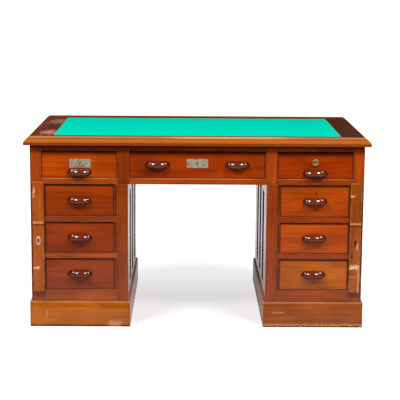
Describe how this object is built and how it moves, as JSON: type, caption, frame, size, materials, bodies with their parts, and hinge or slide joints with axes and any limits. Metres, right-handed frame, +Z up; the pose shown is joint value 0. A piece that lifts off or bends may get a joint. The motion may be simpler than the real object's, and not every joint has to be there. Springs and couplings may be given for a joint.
{
  "type": "pedestal writing desk",
  "caption": "Mahogany pedestal desk for two sitters face to face, with an inset baize top, frieze drawers, a drawer pedestal each side of a kneehole, hinged locking flaps and rear cupboards",
  "frame": {"origin": "on the floor, under the middle of the desk", "axes": "+X to the right of a sitter at the front, along the desk's length; +Y from the front to the back; +Z up"},
  "size_m": [1.391, 0.861, 0.777],
  "materials": {
    "mahogany": "polished, darkened at the edges",
    "drawer_mahogany": "polished, redder than the carcase",
    "pull_mahogany": "turned and polished",
    "drawer_lining": "plain oak, waxed",
    "baize": "woven wool baize, green",
    "nickel": "satin nickel, scratched",
    "lock_brass": "turned brass, tarnished",
    "hinge_brass": "old brass, dull"
  },
  "bodies": {
    "desk": {"writing_surface": "baize", "top_panel": "drawer_lining", "top_border": "mahogany", "frieze_front_frame": "mahogany", "frieze_rear_frame": "mahogany", "frieze_ends": "mahogany", "frieze_partitions": "drawer_lining", "pedestal_left_front_frame": "mahogany", "pedestal_left_sides": "mahogany", "pedestal_left_carcase": "drawer_lining", "pedestal_right_front_frame": "mahogany", "pedestal_right_sides": "mahogany", "pedestal_right_carcase": "drawer_lining", "pedestal_rear_frames": "mahogany", "side_panels": "mahogany", "plinths": "mahogany", "drawer_runners": "drawer_lining", "fixed_hinge_halves": "hinge_brass"},
    "frieze_drawer_centre": {"frieze_drawer_centre_front": "drawer_mahogany", "frieze_drawer_centre_box": "drawer_lining", "frieze_drawer_centre_pull": "pull_mahogany", "lock_plate_centre": "nickel"},
    "frieze_drawer_left": {"frieze_drawer_left_front": "drawer_mahogany", "frieze_drawer_left_box": "drawer_lining", "frieze_drawer_left_pull": "pull_mahogany", "lock_plate_left": "nickel"},
    "frieze_drawer_right": {"frieze_drawer_right_front": "drawer_mahogany", "frieze_drawer_right_box": "drawer_lining", "frieze_drawer_right_pull": "pull_mahogany", "lock_cylinder_right": "lock_brass"},
    "left_drawer_lower": {"left_drawer_lower_front": "drawer_mahogany", "left_drawer_lower_box": "drawer_lining", "left_drawer_lower_pull": "pull_mahogany"},
    "left_drawer_middle": {"left_drawer_middle_front": "drawer_mahogany", "left_drawer_middle_box": "drawer_lining", "left_drawer_middle_pull": "pull_mahogany"},
    "left_drawer_upper": {"left_drawer_upper_front": "drawer_mahogany", "left_drawer_upper_box": "drawer_lining", "left_drawer_upper_pull": "pull_mahogany"},
    "right_drawer_lower": {"right_drawer_lower_front": "drawer_mahogany", "right_drawer_lower_box": "drawer_lining", "right_drawer_lower_pull": "pull_mahogany"},
    "right_drawer_middle": {"right_drawer_middle_front": "drawer_mahogany", "right_drawer_middle_box": "drawer_lining", "right_drawer_middle_pull": "pull_mahogany"},
    "right_drawer_upper": {"right_drawer_upper_front": "drawer_mahogany", "right_drawer_upper_box": "drawer_lining", "right_drawer_upper_pull": "pull_mahogany"},
    "rear_drawer_left": {"rear_drawer_left": "drawer_mahogany"},
    "rear_drawer_centre": {"rear_drawer_centre": "drawer_mahogany"},
    "rear_drawer_right": {"rear_drawer_right": "drawer_mahogany"},
    "locking_flap_left": {"locking_flap_left": "mahogany", "flap_hinge_left": "hinge_brass", "flap_escutcheon": "nickel"},
    "locking_flap_right": {"locking_flap_right": "mahogany", "flap_hinge_right": "hinge_brass"},
    "cupboard_door_left": {"cupboard_door_left": "mahogany", "door_hinge_left": "hinge_brass"},
    "cupboard_door_right": {"cupboard_door_right": "mahogany", "door_hinge_right": "hinge_brass"}
  },
  "joints": [
    {"name": "frieze_drawer_centre_slide", "type": "slide", "parent": "desk", "child": "frieze_drawer_centre", "axis": [0, -1, 0], "range_m": [0, 0.3]},
    {"name": "frieze_drawer_left_slide", "type": "slide", "parent": "desk", "child": "frieze_drawer_left", "axis": [0, -1, 0], "range_m": [0, 0.3]},
    {"name": "frieze_drawer_right_slide", "type": "slide", "parent": "desk", "child": "frieze_drawer_right", "axis": [0, -1, 0], "range_m": [0, 0.3]},
    {"name": "left_drawer_lower_slide", "type": "slide", "parent": "desk", "child": "left_drawer_lower", "axis": [0, -1, 0], "range_m": [0, 0.3]},
    {"name": "left_drawer_middle_slide", "type": "slide", "parent": "desk", "child": "left_drawer_middle", "axis": [0, -1, 0], "range_m": [0, 0.3]},
    {"name": "left_drawer_upper_slide", "type": "slide", "parent": "desk", "child": "left_drawer_upper", "axis": [0, -1, 0], "range_m": [0, 0.3]},
    {"name": "right_drawer_lower_slide", "type": "slide", "parent": "desk", "child": "right_drawer_lower", "axis": [0, -1, 0], "range_m": [0, 0.3]},
    {"name": "right_drawer_middle_slide", "type": "slide", "parent": "desk", "child": "right_drawer_middle", "axis": [0, -1, 0], "range_m": [0, 0.3]},
    {"name": "right_drawer_upper_slide", "type": "slide", "parent": "desk", "child": "right_drawer_upper", "axis": [0, -1, 0], "range_m": [0, 0.3]},
    {"name": "rear_drawer_left_slide", "type": "slide", "parent": "desk", "child": "rear_drawer_left", "axis": [0, 1, 0], "range_m": [0, 0.3]},
    {"name": "rear_drawer_centre_slide", "type": "slide", "parent": "desk", "child": "rear_drawer_centre", "axis": [0, 1, 0], "range_m": [0, 0.3]},
    {"name": "rear_drawer_right_slide", "type": "slide", "parent": "desk", "child": "rear_drawer_right", "axis": [0, 1, 0], "range_m": [0, 0.3]},
    {"name": "locking_flap_left_hinge", "type": "hinge", "parent": "desk", "child": "locking_flap_left", "pos_m": [-0.6665, -0.4065, 0.3725], "axis": [0, 0, -1], "range_deg": [0, 120]},
    {"name": "locking_flap_right_hinge", "type": "hinge", "parent": "desk", "child": "locking_flap_right", "pos_m": [0.6665, -0.4065, 0.3725], "axis": [0, 0, 1], "range_deg": [0, 120]},
    {"name": "cupboard_door_left_hinge", "type": "hinge", "parent": "desk", "child": "cupboard_door_left", "pos_m": [-0.6275, 0.4065, 0.3725], "axis": [0, 0, 1], "range_deg": [0, 100]},
    {"name": "cupboard_door_right_hinge", "type": "hinge", "parent": "desk", "child": "cupboard_door_right", "pos_m": [0.6275, 0.4065, 0.3725], "axis": [0, 0, -1], "range_deg": [0, 100]}
  ]
}
